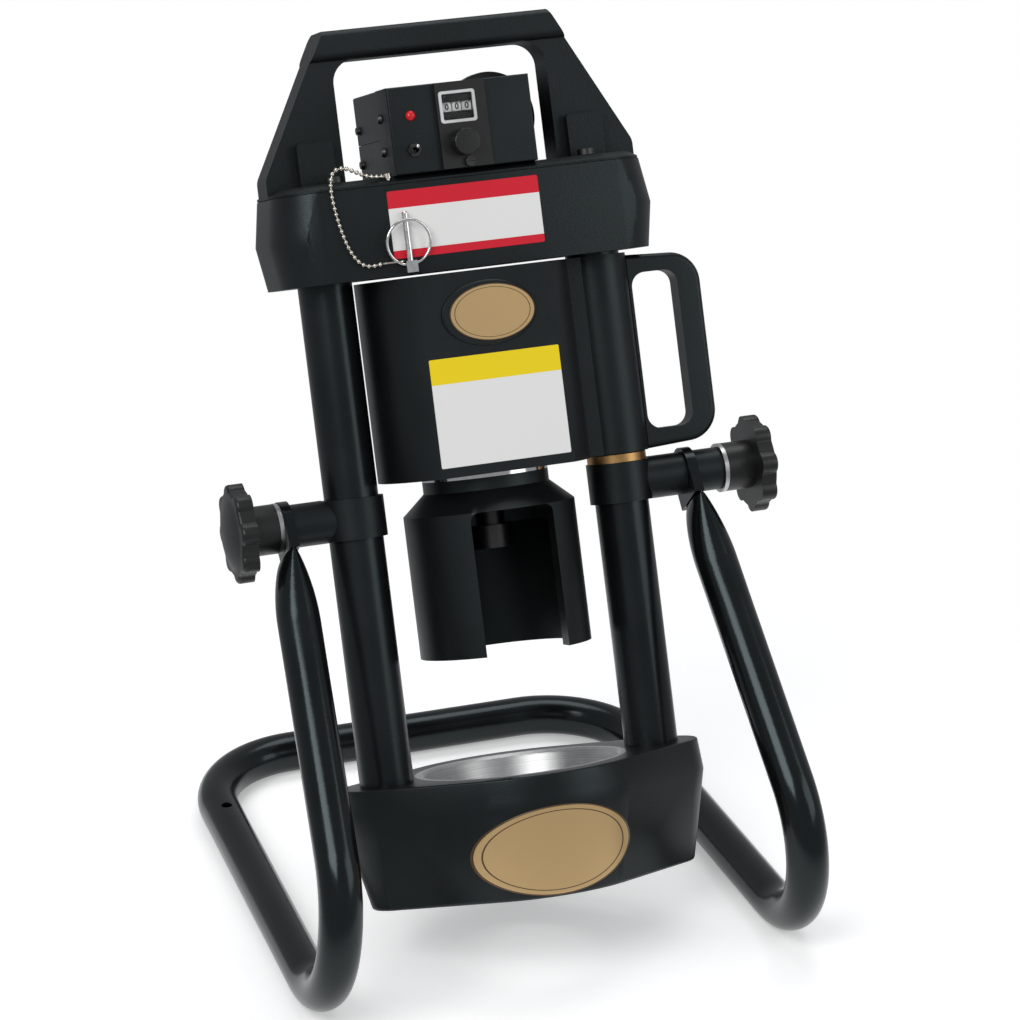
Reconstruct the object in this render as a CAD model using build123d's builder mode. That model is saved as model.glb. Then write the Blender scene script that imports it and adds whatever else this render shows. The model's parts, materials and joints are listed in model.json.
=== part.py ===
from build123d import *
from math import cos, pi, radians, sin, sqrt, tan
import os

# Hose crimping machine: a two-column press that leans back on a bent tube stand.
# Every piece is drawn upright in the machine's own frame, in millimetres:
# X to the right, Y to the back, Z up the columns, Z = 0 under the base block.
# The last section leans the whole machine back and puts its feet on Z = 0.

# ---------------------------------------------------------------- driving sizes
# Clearances
fit_clearance = 0.1          # radial, between pieces that stay together
running_clearance = 0.3      # radial or axial, between pieces that move
joint_gap = 0.3              # between stacked faces of different pieces

# Columns
column_diameter = 38.1
column_spacing = 196.4
column_socket_depth = 66.4
stud_diameter = 24.0
stud_end_diameter = 20.0
stud_end_height = 30.0
column_nut_flats = 36.0
column_nut_height = 19.0
column_bolt_diameter = 16.0

# Base block with its conical bowl
base_height = 86.4
base_parting_height = 64.0
base_middle_radius = 92.0
base_end_radius = 34.8
base_lower_draft = 12.5
base_upper_draft = 5.0
base_lip_height = 12.0
bowl_rim_radius = 69.1
bowl_cone_angle = 15.0
bowl_seat_radius = 75.0
bowl_seat_depth = 24.0
bowl_body_radius = 67.0
bowl_step_height = 6.0
bowl_lead_in = 2.0

# Cylinder housing on its hinge sleeve
die_space = 81.6
pusher_gap = 3.0
housing_height = 140.0
housing_radius = 75.0
housing_flat_depth = 57.0
housing_bore_radius = 50.0
housing_roof = 16.0
housing_chamfer = 4.0
sleeve_radius = 23.3
web_width = 36.0
badge_width = 64.0
badge_height = 41.0
badge_rim = 2.0
badge_rise = 2.0
badge_drop = 30.0
port_height = 112.0
port_boss_radius = 17.0
port_boss_length = 14.0
port_bore_radius = 9.5
port_depth = 18.0

# Ram
stroke = 70.0
pusher_radius = 60.5
pusher_body_height = 100.0
pusher_shoulder_height = 14.5
pusher_neck_height = 8.5
pusher_neck_radius = 44.4
pusher_wall = 12.0
pusher_roof = 12.0
pusher_window_width = 60.0
pusher_window_height = 100.0
pusher_bolt_diameter = 20.0
piston_height = 30.0
piston_top_gap = 0.5
rod_wall = 12.0
rod_floor = 12.0
gland_height = 21.0
seal_width = 6.0
seal_depth = 3.0
spanner_hole_radius = 1.5
spring_radius = 17.0
spring_wire = 5.0
spring_wire_sides = 8
spring_coils = 7

# Head and its handle cover
head_gap = 2.0
head_height = 62.4
head_half_length = 138.8
head_half_depth = 49.5
head_corner_radius = 40.0
head_draft = 9.0
cover_seam = 0.4
foot_lip = 1.6
foot_height = 5.4
foot_half_length = 134.6
foot_half_depth = 47.5
foot_corner_radius = 36.0
foot_slope = 60.0
handle_height = 105.3
handle_top_half = 82.0
handle_shoulder_half = 134.0
handle_shoulder_height = 8.0
handle_opening_half = 77.5
handle_opening_radius = 16.0
panel_thickness = 26.0
grip_height = 21.0
grip_thickness = 36.0
grip_round = 6.0
boss_width = 26.0
boss_height = 30.0
boss_rise = 7.0
cover_screw_diameter = 8.0

# Collars and stand
collar_radius = 22.3
collar_height = 28.3
collar_drop = 6.4            # from the underside of the housing to the collar's top
arm_radius = 15.1
pivot_half_width = 148.5
leg_end_thickness = 7.0
leg_end_radius = 18.0
pivot_stud_diameter = 12.0
spacer_length = 20.0
washer_thickness = 3.0
washer_radius = 17.5
tube_diameter = 30.0
tube_wall = 2.0
leg_run = 411.8
leg_slope = 23.8             # forward from the columns, seen from the side
rail_run = 502.9
lean = 22.4                  # the machine leans back by this much on the stand
front_half_width = 177.0
rear_half_width = 164.7
front_bend_radius = 70.0
rear_bend_radius = 75.0
flattened_length = 22.0
neck_length = 50.0
rail_hole_diameter = 8.0
rail_hole_from_rear = 95.0

# Clamp knobs
knob_hub_radius = 17.3
knob_hub_length = 19.0
knob_radius = 34.4
knob_thickness = 12.0
knob_lobes = 8
knob_lobe_radius = 8.0
knob_valley_radius = 2.0
knob_dome = 5.0
knob_dome_root = 1.0         # the dome starts this deep in the wheel

# Swing handle
grab_reach = 76.5
grab_thickness = 16.0
grab_bar = 18.0
grab_top_bar = 13.5
grab_corner_radius = 22.0
grab_opening_radius = 10.0
grab_round = 4.0

# Control box
box_width = 103.0
box_height = 60.0
box_depth = 88.0
box_front = 50.0             # front face, ahead of the column plane
box_wall = 2.5
box_round = 3.0
box_front_depth = 28.0
box_seam_height = 26.0
strip_width = 36.0
strip_rise = 3.0
window_width = 26.0
window_height = 22.0
window_offset = -3.0
window_above_box = 31.5
window_frame = 2.0
wheel_radius = 9.5
wheel_width = 6.4
wheel_pitch = 7.2
dial_radius = 9.2
dial_length = 11.0
dial_height = 17.5
dial_offset = -2.0
dial_shaft_diameter = 6.0
lamp_radius = 3.5
lamp_offset = -36.5
lamp_height = 39.5
toggle_height = 16.0
lock_screw_radius = 3.5
side_screw_radius = 3.6
sensor_radius = 33.0
sensor_length = 14.0
sensor_offset = 48.0

# Lock pin, its ring and the bead chain
pin_diameter = 4.6
pin_length = 44.0
pin_head = 8.0
pin_offset = -49.4
pin_top_below_head_top = 19.0
ring_radius = 15.5
ring_wire = 2.0
ring_tilt = 7.5              # the ring hangs forward by this much
ring_hook_angle = 235.0      # where the chain's link hangs on the ring
anchor_x = -56.0
anchor_y = -43.5
anchor_head_radius = 2.6
anchor_head_height = 3.2
anchor_shank_radius = 1.5
bead_diameter = 3.2
link_length = 15.4
link_width = 6.0
link_wire = 1.0

# ---------------------------------------------------------------- derived places
column_x = column_spacing / 2
column_radius = column_diameter / 2
pusher_bottom = base_height + die_space
pusher_shoulder = pusher_bottom + pusher_body_height
pusher_neck = pusher_shoulder + pusher_shoulder_height
pusher_top = pusher_neck + pusher_neck_height
housing_bottom = pusher_top + pusher_gap
housing_top = housing_bottom + housing_height
head_bottom = housing_top + head_gap
head_parting = head_bottom + head_height / 2
head_top = head_bottom + head_height
foot_bottom = head_top + cover_seam
foot_top = foot_bottom + foot_height
handle_top = foot_top + handle_height
collar_top = housing_bottom - collar_drop
collar_bottom = collar_top - collar_height
pivot_z = (collar_top + collar_bottom) / 2
column_foot = base_height - column_socket_depth
nut_seat = head_top - column_nut_height - 2.0
box_bottom = foot_top
box_top = box_bottom + box_height
box_rear = box_depth - box_front
sides = (("left", -1), ("right", 1))
pieces = {}


def keep(builder, label):
    """Put a finished piece on the list of sub-parts."""
    builder.part.label = label
    pieces[label] = builder.part


def column_places(z):
    return Locations((-column_x, 0, z), (column_x, 0, z))


# ---------------------------------------------------------------- base block
def base_outline(sketch_plane):
    """Bowl wall and the two column ends, joined by straight sides."""
    with BuildSketch(sketch_plane) as outline:
        Circle(base_middle_radius)
        with Locations((-column_x, 0), (column_x, 0)):
            Circle(base_end_radius)
        make_hull()
    return outline


bowl_floor_radius = bowl_rim_radius - (base_height - base_lip_height) * tan(radians(bowl_cone_angle))
with BuildPart() as base_block:
    lower = base_outline(Plane.XY.offset(base_parting_height))
    extrude(lower.sketch, amount=-base_parting_height, taper=base_lower_draft)
    fillet(base_block.faces().sort_by(Axis.Z)[0].edges(), radius=3)
    upper = base_outline(Plane.XY.offset(base_parting_height))
    extrude(upper.sketch, amount=base_height - base_parting_height, taper=base_upper_draft)
    fillet(base_block.faces().sort_by(Axis.Z)[-1].edges(), radius=1.5)
    with BuildSketch(Plane.XY):
        Circle(bowl_floor_radius)
    extrude(amount=base_height, mode=Mode.SUBTRACT)
    with BuildSketch(Plane.XY.offset(base_lip_height)):
        Circle(bowl_body_radius + fit_clearance)
    extrude(amount=base_height, mode=Mode.SUBTRACT)
    with BuildSketch(Plane.XY.offset(base_height - bowl_seat_depth)):
        Circle(bowl_seat_radius + fit_clearance)
    extrude(amount=base_height, mode=Mode.SUBTRACT)
    with column_places(base_height):
        Hole(column_radius + fit_clearance, depth=column_socket_depth)
    with Locations((-column_x, 0, 0), (column_x, 0, 0)):
        Cylinder(column_bolt_diameter / 2 + fit_clearance, base_height, mode=Mode.SUBTRACT)
        Cylinder(
            column_bolt_diameter * 0.8,
            column_foot - 8,
            align=(Align.CENTER, Align.CENTER, Align.MIN),
            mode=Mode.SUBTRACT,
        )
keep(base_block, "base_block")

with BuildPart() as die_cone:
    with BuildSketch(Plane.XZ):
        with BuildLine():
            Polyline(
                (bowl_floor_radius, base_lip_height),
                (bowl_body_radius, base_lip_height),
                (bowl_body_radius, base_height - bowl_seat_depth - bowl_step_height),
                (bowl_body_radius, base_height - bowl_seat_depth),
                (bowl_seat_radius, base_height - bowl_seat_depth),
                (bowl_seat_radius, base_height),
                (bowl_rim_radius + bowl_lead_in, base_height),
                (bowl_rim_radius - bowl_lead_in * tan(radians(bowl_cone_angle)), base_height - bowl_lead_in),
                close=True,
            )
        make_face()
    revolve(axis=Axis.Z)
keep(die_cone, "die_cone")

# ---------------------------------------------------------------- columns
for side, sign in sides:
    with BuildPart() as column:
        with BuildSketch(Plane.XY.offset(column_foot)):
            with Locations((sign * column_x, 0)):
                Circle(column_radius)
        extrude(amount=head_bottom - column_foot)
        with BuildSketch(Plane.XY.offset(head_bottom)):
            with Locations((sign * column_x, 0)):
                Circle(stud_diameter / 2)
        extrude(amount=head_top - head_bottom)
        with BuildSketch(Plane.XY.offset(head_top)):
            with Locations((sign * column_x, 0)):
                Circle(stud_end_diameter / 2)
        extrude(amount=stud_end_height)
        chamfer(column.faces().sort_by(Axis.Z)[-1].edges(), length=2)
        with BuildSketch(Plane.XY.offset(column_foot)):
            with Locations((sign * column_x, 0)):
                Circle(column_bolt_diameter / 2 + fit_clearance)
        extrude(amount=column_bolt_diameter * 2, mode=Mode.SUBTRACT)
    keep(column, f"{side}_column")

bolt_head_height = column_foot - 8 - 1
with BuildPart() as column_bolts:
    with Locations((-column_x, 0, 1), (column_x, 0, 1)):
        Cylinder(
            column_bolt_diameter * 0.75,
            column_foot - 8 - 1 - 0.2,
            align=(Align.CENTER, Align.CENTER, Align.MIN),
        )
        Cylinder(
            column_bolt_diameter / 2,
            column_foot - 1 + column_bolt_diameter * 1.5,
            align=(Align.CENTER, Align.CENTER, Align.MIN),
        )
    with BuildSketch(Plane.XY):
        with Locations((-column_x, 0), (column_x, 0)):
            RegularPolygon(column_bolt_diameter * 0.43, 6)
    extrude(amount=bolt_head_height * 0.6, mode=Mode.SUBTRACT)
keep(column_bolts, "column_bolts")

with BuildPart() as column_nuts:
    with BuildSketch(Plane.XY.offset(nut_seat)):
        with Locations((-column_x, 0), (column_x, 0)):
            RegularPolygon(column_nut_flats / 2, 6, major_radius=False)
            Circle(stud_diameter / 2 + fit_clearance, mode=Mode.SUBTRACT)
    extrude(amount=column_nut_height)
keep(column_nuts, "column_nuts")

# ---------------------------------------------------------------- head block
with BuildPart() as head_block:
    for direction in (-1, 1):
        with BuildSketch(Plane.XY.offset(head_parting)):
            RectangleRounded(2 * head_half_length, 2 * head_half_depth + 12, head_corner_radius)
        extrude(amount=direction * head_height / 2, taper=head_draft)
    with Locations((0, 0, head_parting)):
        Box(2 * head_half_length + 10, 2 * head_half_depth, head_height + 10, mode=Mode.INTERSECT)
    with Locations((-column_x, 0, head_bottom), (column_x, 0, head_bottom)):
        Cylinder(stud_diameter / 2 + fit_clearance, 3 * head_height, mode=Mode.SUBTRACT)
    with Locations((-column_x, 0, nut_seat), (column_x, 0, nut_seat)):
        Cylinder(
            column_nut_flats / 2 / cos(pi / 6) + 1.5,
            head_height,
            align=(Align.CENTER, Align.CENTER, Align.MIN),
            mode=Mode.SUBTRACT,
        )
keep(head_block, "head_block")

# ---------------------------------------------------------------- handle cover
shoulder_z = foot_top + handle_shoulder_height
grip_bottom = handle_top - grip_height
stud_pocket_top = head_top + stud_end_height + 1.5
cover_screw_x = handle_opening_half + 14
cover_screw_y = foot_half_depth - 13
anchor_seat = foot_top - 0.9
with BuildPart() as handle_cover:
    with BuildSketch(Plane.XY.offset(foot_bottom)):
        RectangleRounded(2 * foot_half_length, 2 * foot_half_depth, foot_corner_radius)
    extrude(amount=foot_lip)
    with BuildSketch(Plane.XY.offset(foot_bottom + foot_lip)):
        RectangleRounded(2 * foot_half_length, 2 * foot_half_depth, foot_corner_radius)
    extrude(amount=foot_height - foot_lip, taper=foot_slope)
    with BuildSketch(Plane.XZ):
        with BuildLine():
            Polyline(
                (-handle_shoulder_half, foot_bottom + foot_lip),
                (-handle_shoulder_half, shoulder_z),
                (-handle_top_half, handle_top),
                (handle_top_half, handle_top),
                (handle_shoulder_half, shoulder_z),
                (handle_shoulder_half, foot_bottom + foot_lip),
                close=True,
            )
        make_face()
        fillet(vertices().group_by(Axis.Y)[1], radius=12)
    extrude(amount=panel_thickness / 2, both=True)
    with BuildSketch(Plane.YZ.offset(-handle_shoulder_half)):
        with Locations((0, handle_top - grip_height / 2)):
            RectangleRounded(grip_thickness, grip_height, grip_round)
    extrude(amount=2 * handle_shoulder_half)
    with BuildSketch(Plane.XZ):
        with BuildLine():
            Polyline(
                (-handle_shoulder_half - 20, handle_top + 1),
                (-handle_shoulder_half - 20, shoulder_z),
                (-handle_shoulder_half, shoulder_z),
                (-handle_top_half, handle_top),
                (-handle_top_half, handle_top + 1),
                close=True,
            )
        make_face()
        mirror(about=Plane.YZ)
    extrude(amount=grip_thickness, both=True, mode=Mode.SUBTRACT)
    with BuildSketch(Plane.XZ):
        with Locations((0, (grip_bottom + foot_top - 40) / 2)):
            RectangleRounded(2 * handle_opening_half, grip_bottom - foot_top + 40, handle_opening_radius)
        with Locations((0, foot_top - 40)):
            Rectangle(2 * handle_opening_half + 1, 80, mode=Mode.SUBTRACT)
    extrude(amount=grip_thickness, both=True, mode=Mode.SUBTRACT)
    with BuildSketch(Plane.XZ):
        with Locations((-column_x, foot_top + boss_height / 2 - 1), (column_x, foot_top + boss_height / 2 - 1)):
            RectangleRounded(boss_width, boss_height + 2, 3)
    extrude(amount=panel_thickness / 2 + boss_rise, both=True)
    with Locations((-column_x, 0, foot_bottom), (column_x, 0, foot_bottom)):
        Cylinder(
            stud_end_diameter / 2 + fit_clearance,
            stud_pocket_top - foot_bottom,
            align=(Align.CENTER, Align.CENTER, Align.MIN),
            mode=Mode.SUBTRACT,
        )
    for x in (-cover_screw_x, cover_screw_x):
        for y in (-cover_screw_y, cover_screw_y):
            with Locations((x, y, foot_top)):
                Cylinder(cover_screw_diameter / 2 + fit_clearance, 3 * foot_height, mode=Mode.SUBTRACT)
    with Locations((anchor_x, anchor_y, foot_top)):
        Cylinder(anchor_shank_radius + fit_clearance, 3 * foot_height, mode=Mode.SUBTRACT)
    with Locations((anchor_x, anchor_y, anchor_seat)):
        Cylinder(
            anchor_head_radius + fit_clearance,
            foot_height,
            align=(Align.CENTER, Align.CENTER, Align.MIN),
            mode=Mode.SUBTRACT,
        )
keep(handle_cover, "handle_cover")

with BuildPart() as cover_screws:
    for x in (-cover_screw_x, cover_screw_x):
        for y in (-cover_screw_y, cover_screw_y):
            with Locations((x, y, foot_top + joint_gap)):
                Cylinder(cover_screw_diameter * 0.75, 4, align=(Align.CENTER, Align.CENTER, Align.MIN))
            with Locations((x, y, head_top)):
                Cylinder(cover_screw_diameter / 2, foot_height + 2, align=(Align.CENTER, Align.CENTER, Align.MIN))
keep(cover_screws, "cover_screws")

# ---------------------------------------------------------------- collars, bush and pivots
arm_end = pivot_half_width - leg_end_thickness / 2 - joint_gap
for side, sign in sides:
    with BuildPart() as collar:
        with Locations((sign * column_x, 0, (collar_top + collar_bottom) / 2)):
            Cylinder(collar_radius, collar_height)
        with BuildSketch(Plane.YZ.offset(sign * column_x)):
            with Locations((0, pivot_z)):
                Circle(arm_radius)
        extrude(amount=sign * (arm_end - column_x))
        with Locations((sign * column_x, 0, pivot_z)):
            Cylinder(column_radius + fit_clearance, 2 * collar_height, mode=Mode.SUBTRACT)
        with Locations((sign * column_x, 0, collar_top)):
            Cylinder(
                collar_radius,
                collar_drop,
                align=(Align.CENTER, Align.CENTER, Align.MIN),
                mode=Mode.SUBTRACT,
            )
        with BuildSketch(Plane.YZ.offset(sign * arm_end)):
            with Locations((0, pivot_z)):
                Circle(pivot_stud_diameter / 2 + fit_clearance)
        extrude(amount=-sign * (arm_end - column_x - collar_radius), mode=Mode.SUBTRACT)
        with BuildSketch(Plane.XZ.offset(-collar_radius - 1)):
            with Locations((sign * column_x, pivot_z)):
                Circle(4 + fit_clearance)
        extrude(amount=collar_radius, mode=Mode.SUBTRACT)
    keep(collar, f"{side}_collar")

with BuildPart() as collar_screws:
    for side, sign in sides:
        with BuildSketch(Plane.XZ.offset(-column_radius - joint_gap)):
            with Locations((sign * column_x, pivot_z)):
                Circle(4)
                RegularPolygon(2, 6, mode=Mode.SUBTRACT)
        extrude(amount=-(collar_radius - column_radius - 0.5))
keep(collar_screws, "collar_screws")

bush_height = collar_drop - running_clearance
with BuildPart() as bronze_bush:
    with BuildSketch(Plane.XY.offset(collar_top)):
        with Locations((column_x, 0)):
            Circle(collar_radius - 1.3)
            Circle(column_radius + fit_clearance, mode=Mode.SUBTRACT)
    extrude(amount=bush_height)
    chamfer(bronze_bush.edges().filter_by(GeomType.CIRCLE).sort_by(Axis.Z)[-2:], length=0.5)
keep(bronze_bush, "bronze_bush")

stud_inner_end = column_x + collar_radius + 4
clamp_reach = {"left": 0.0, "right": spacer_length + joint_gap}
leg_outer = pivot_half_width + leg_end_thickness / 2
dome_rim_radius = knob_radius - knob_lobe_radius
dome_sphere_radius = (dome_rim_radius**2 + knob_dome**2) / (2 * knob_dome)
dome_root_radius = sqrt(dome_sphere_radius**2 - (dome_sphere_radius - knob_dome - knob_dome_root) ** 2)
for side, sign in sides:
    washer_start = leg_outer + joint_gap + clamp_reach[side]
    hub_start = washer_start + washer_thickness + joint_gap
    hub_end = hub_start + knob_hub_length
    with BuildPart() as washer:
        with BuildSketch(Plane.YZ.offset(sign * washer_start)):
            with Locations((0, pivot_z)):
                Circle(washer_radius)
                Circle(pivot_stud_diameter / 2 + running_clearance, mode=Mode.SUBTRACT)
        extrude(amount=sign * washer_thickness)
    keep(washer, f"{side}_washer")

    with BuildPart() as stud:
        with BuildSketch(Plane.YZ.offset(sign * stud_inner_end)):
            with Locations((0, pivot_z)):
                Circle(pivot_stud_diameter / 2)
        extrude(amount=sign * (hub_end - stud_inner_end))
        chamfer(stud.edges().filter_by(GeomType.CIRCLE), length=1)
    keep(stud, f"{side}_pivot_stud")

    with BuildPart() as knob:
        with BuildSketch(Plane.YZ.offset(sign * hub_start)):
            with Locations((0, pivot_z)):
                Circle(knob_hub_radius)
        extrude(amount=sign * knob_hub_length)
        with BuildSketch(Plane.YZ.offset(sign * hub_end)) as wheel_outline:
            with Locations((0, pivot_z)):
                Circle(knob_radius - knob_lobe_radius / 2)
                with PolarLocations(knob_radius - knob_lobe_radius, knob_lobes):
                    Circle(knob_lobe_radius)
            fillet(wheel_outline.vertices(), radius=knob_valley_radius)
        extrude(amount=sign * knob_thickness)
        fillet(knob.faces().filter_by(Axis.X).sort_by(Axis.X)[0 if sign < 0 else -1].edges(), radius=2.5)
        face_x = hub_end + knob_thickness
        with BuildSketch(Plane.XY.offset(pivot_z)):
            with BuildLine():
                Polyline(
                    (sign * (face_x + knob_dome), 0),
                    (sign * (face_x - knob_dome_root), 0),
                    (sign * (face_x - knob_dome_root), dome_root_radius),
                )
                RadiusArc(
                    (sign * (face_x - knob_dome_root), dome_root_radius),
                    (sign * (face_x + knob_dome), 0),
                    sign * dome_sphere_radius,
                )
            make_face()
        revolve(axis=Axis((0, 0, pivot_z), (1, 0, 0)))
        with BuildSketch(Plane.YZ.offset(sign * (hub_start - 1))):
            with Locations((0, pivot_z)):
                Circle(pivot_stud_diameter / 2 + running_clearance)
        extrude(amount=sign * (knob_hub_length + 1 + running_clearance), mode=Mode.SUBTRACT)
    keep(knob, f"{side}_knob")

with BuildPart() as spacer:
    with BuildSketch(Plane.YZ.offset(leg_outer + joint_gap)):
        with Locations((0, pivot_z)):
            Circle(arm_radius)
            Circle(pivot_stud_diameter / 2 + running_clearance, mode=Mode.SUBTRACT)
    extrude(amount=spacer_length)
keep(spacer, "right_spacer")

# ---------------------------------------------------------------- stand
def stand_point(run_down, run_back, half_width):
    """A point of the stand, from the pivot down the leg and then back along the rail."""
    y = -run_down * sin(radians(leg_slope)) + run_back * cos(radians(lean))
    z = pivot_z - run_down * cos(radians(leg_slope)) + run_back * sin(radians(lean))
    return Vector(half_width, y, z)


leg_share = (flattened_length + neck_length) / leg_run
leg_start = stand_point(
    leg_run * leg_share, 0, pivot_half_width + (front_half_width - pivot_half_width) * leg_share
)
front_corner = stand_point(leg_run, 0, front_half_width)
rear_corner = stand_point(leg_run, rail_run, rear_half_width)


def mirrored(point):
    return Vector(-point.X, point.Y, point.Z)


tube_corners = (leg_start, front_corner, rear_corner, mirrored(rear_corner), mirrored(front_corner), mirrored(leg_start))
bend_radii = (front_bend_radius, rear_bend_radius, rear_bend_radius, front_bend_radius)
leg_direction = (front_corner - leg_start).normalized()
rail_up = Vector(0, -sin(radians(lean)), cos(radians(lean)))
with BuildPart() as stand:
    with BuildLine() as tube_path:
        FilletPolyline(*tube_corners, radius=bend_radii)
    start_plane = Plane(leg_start, z_dir=tube_path.line % 0)
    with BuildSketch(start_plane):
        Circle(tube_diameter / 2)
    sweep(path=tube_path.line)
    for sign in (-1, 1):
        direction = Vector(sign * leg_direction.X, leg_direction.Y, leg_direction.Z)
        tab_end = Vector(sign * pivot_half_width, 0, pivot_z) + direction * flattened_length
        tube_end = Vector(sign * leg_start.X, leg_start.Y, leg_start.Z)
        flat_plane = Plane(tab_end, x_dir=(1, 0, -direction.X / direction.Z), z_dir=direction)
        round_plane = Plane(tube_end, x_dir=(1, 0, -direction.X / direction.Z), z_dir=direction)
        with BuildSketch(flat_plane):
            Ellipse(leg_end_thickness / 2, leg_end_radius)
        with BuildSketch(round_plane):
            Circle(tube_diameter / 2)
        loft()
        with BuildSketch(Plane.YZ.offset(sign * pivot_half_width)):
            with Locations((0, pivot_z)):
                Circle(leg_end_radius)
            with BuildLine():
                Polyline(
                    (-leg_end_radius * cos(radians(leg_slope)), pivot_z + leg_end_radius * sin(radians(leg_slope))),
                    (leg_end_radius * cos(radians(leg_slope)), pivot_z - leg_end_radius * sin(radians(leg_slope))),
                    (
                        tab_end.Y + leg_end_radius * cos(radians(leg_slope)),
                        tab_end.Z - leg_end_radius * sin(radians(leg_slope)),
                    ),
                    (
                        tab_end.Y - leg_end_radius * cos(radians(leg_slope)),
                        tab_end.Z + leg_end_radius * sin(radians(leg_slope)),
                    ),
                    close=True,
                )
            make_face()
        extrude(amount=leg_end_thickness / 2, both=True)
    with BuildSketch(start_plane):
        Circle(tube_diameter / 2 - tube_wall)
    sweep(path=tube_path.line, mode=Mode.SUBTRACT)
    with BuildSketch(Plane.YZ.offset(-pivot_half_width - 20)):
        with Locations((0, pivot_z)):
            Circle(pivot_stud_diameter / 2 + running_clearance)
    extrude(amount=2 * pivot_half_width + 40, mode=Mode.SUBTRACT)
    rail_share = 1 - rail_hole_from_rear / rail_run
    for sign in (-1, 1):
        hole_point = stand_point(
            leg_run, rail_run * rail_share, front_half_width + (rear_half_width - front_half_width) * rail_share
        )
        hole_centre = Vector(sign * hole_point.X, hole_point.Y, hole_point.Z)
        with BuildSketch(Plane(hole_centre, x_dir=(1, 0, 0), z_dir=rail_up)):
            Circle(rail_hole_diameter / 2)
        extrude(amount=tube_diameter, both=True, mode=Mode.SUBTRACT)
keep(stand, "stand_tube")
print("stand volume", round(stand.part.volume), "solids", len(stand.part.solids()))

# ---------------------------------------------------------------- cylinder housing
gland_top = housing_bottom + gland_height
bore_top = housing_top - housing_roof
badge_z = housing_top - badge_drop
port_z = housing_bottom + port_height
with BuildPart() as cylinder_housing:
    with BuildSketch(Plane.XY.offset(housing_bottom)):
        Circle(housing_radius)
        with Locations((0, -housing_flat_depth - housing_radius)):
            Rectangle(4 * housing_radius, 2 * housing_radius, mode=Mode.SUBTRACT)
        with Locations((column_x / 2, 0)):
            Rectangle(column_x, web_width)
        with Locations((column_x, 0)):
            Circle(sleeve_radius)
        with Locations((column_x, 0)):
            Circle(column_radius + running_clearance, mode=Mode.SUBTRACT)
    extrude(amount=housing_height)
    with BuildSketch(Plane.XZ.offset(housing_flat_depth - badge_rise)):
        with Locations((0, badge_z)):
            Ellipse(badge_width / 2 + badge_rim, badge_height / 2 + badge_rim)
    extrude(amount=2 * badge_rise)
    chamfer(cylinder_housing.faces().sort_by(Axis.Y)[0].edges(), length=badge_rise / 2)
    with BuildSketch(Plane.XZ.offset(-housing_radius + 6)):
        with Locations((0, port_z)):
            Circle(port_boss_radius)
    extrude(amount=-(port_boss_length + 6))
    with BuildSketch(Plane.XZ.offset(-housing_radius - port_boss_length)):
        with Locations((0, port_z)):
            Circle(port_bore_radius)
    extrude(amount=port_depth, mode=Mode.SUBTRACT)
    with Locations((0, 0, housing_bottom)):
        Cylinder(
            housing_bore_radius,
            bore_top - housing_bottom,
            align=(Align.CENTER, Align.CENTER, Align.MIN),
            mode=Mode.SUBTRACT,
        )
    with BuildSketch(Plane.XZ.offset(-housing_radius - port_boss_length)):
        with Locations((0, port_z)):
            Circle(3)
    extrude(amount=housing_radius, mode=Mode.SUBTRACT)
keep(cylinder_housing, "cylinder_housing")

with BuildPart() as gland_nut:
    with BuildSketch(Plane.XY.offset(housing_bottom)):
        Circle(housing_bore_radius - fit_clearance)
        Circle(pusher_neck_radius + running_clearance, mode=Mode.SUBTRACT)
    extrude(amount=gland_height)
    with BuildSketch(Plane.XY.offset(housing_bottom + (gland_height - seal_width) / 2)):
        Circle(pusher_neck_radius + running_clearance + seal_depth)
    extrude(amount=seal_width, mode=Mode.SUBTRACT)
    with BuildSketch(Plane.XY.offset(housing_bottom)):
        with PolarLocations((housing_bore_radius + pusher_neck_radius) / 2, 4):
            Circle(spanner_hole_radius)
    extrude(amount=4, mode=Mode.SUBTRACT)
keep(gland_nut, "gland_nut")

with BuildPart() as rod_seal:
    with BuildSketch(Plane.XY.offset(housing_bottom + (gland_height - seal_width) / 2 + fit_clearance)):
        Circle(pusher_neck_radius + running_clearance + seal_depth - fit_clearance)
        Circle(pusher_neck_radius + running_clearance, mode=Mode.SUBTRACT)
    extrude(amount=seal_width - 2 * fit_clearance)
keep(rod_seal, "rod_seal")

# The bar handle welded to the right of the sleeve
grab_top = housing_top - 2.0
grab_bottom = housing_bottom
grab_root = column_x + sleeve_radius - 1
grab_outer = column_x + grab_reach
with BuildPart() as swing_handle:
    with BuildSketch(Plane.XZ):
        with BuildLine():
            Polyline(
                (grab_root, grab_bottom),
                (grab_outer, grab_bottom + 3),
                (grab_outer, grab_top - 3),
                (grab_root, grab_top),
                close=True,
            )
        make_face()
        fillet(vertices().group_by(Axis.X)[-1], radius=grab_corner_radius)
    extrude(amount=grab_thickness / 2, both=True)
    fillet(swing_handle.edges().filter_by(Axis.Z).sort_by(Axis.X)[-2:], radius=grab_round)
    opening_left = column_x + sleeve_radius + 1
    opening_right = grab_outer - grab_bar
    with BuildSketch(Plane.XZ):
        with Locations(((opening_left + opening_right) / 2, (grab_bottom + grab_top) / 2)):
            RectangleRounded(
                opening_right - opening_left,
                grab_top - grab_bottom - 2 * grab_top_bar,
                grab_opening_radius,
            )
    extrude(amount=grab_thickness, both=True, mode=Mode.SUBTRACT)
    with Locations((column_x, 0, (grab_bottom + grab_top) / 2)):
        Cylinder(sleeve_radius + fit_clearance, 2 * housing_height, mode=Mode.SUBTRACT)
keep(swing_handle, "swing_handle")

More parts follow.
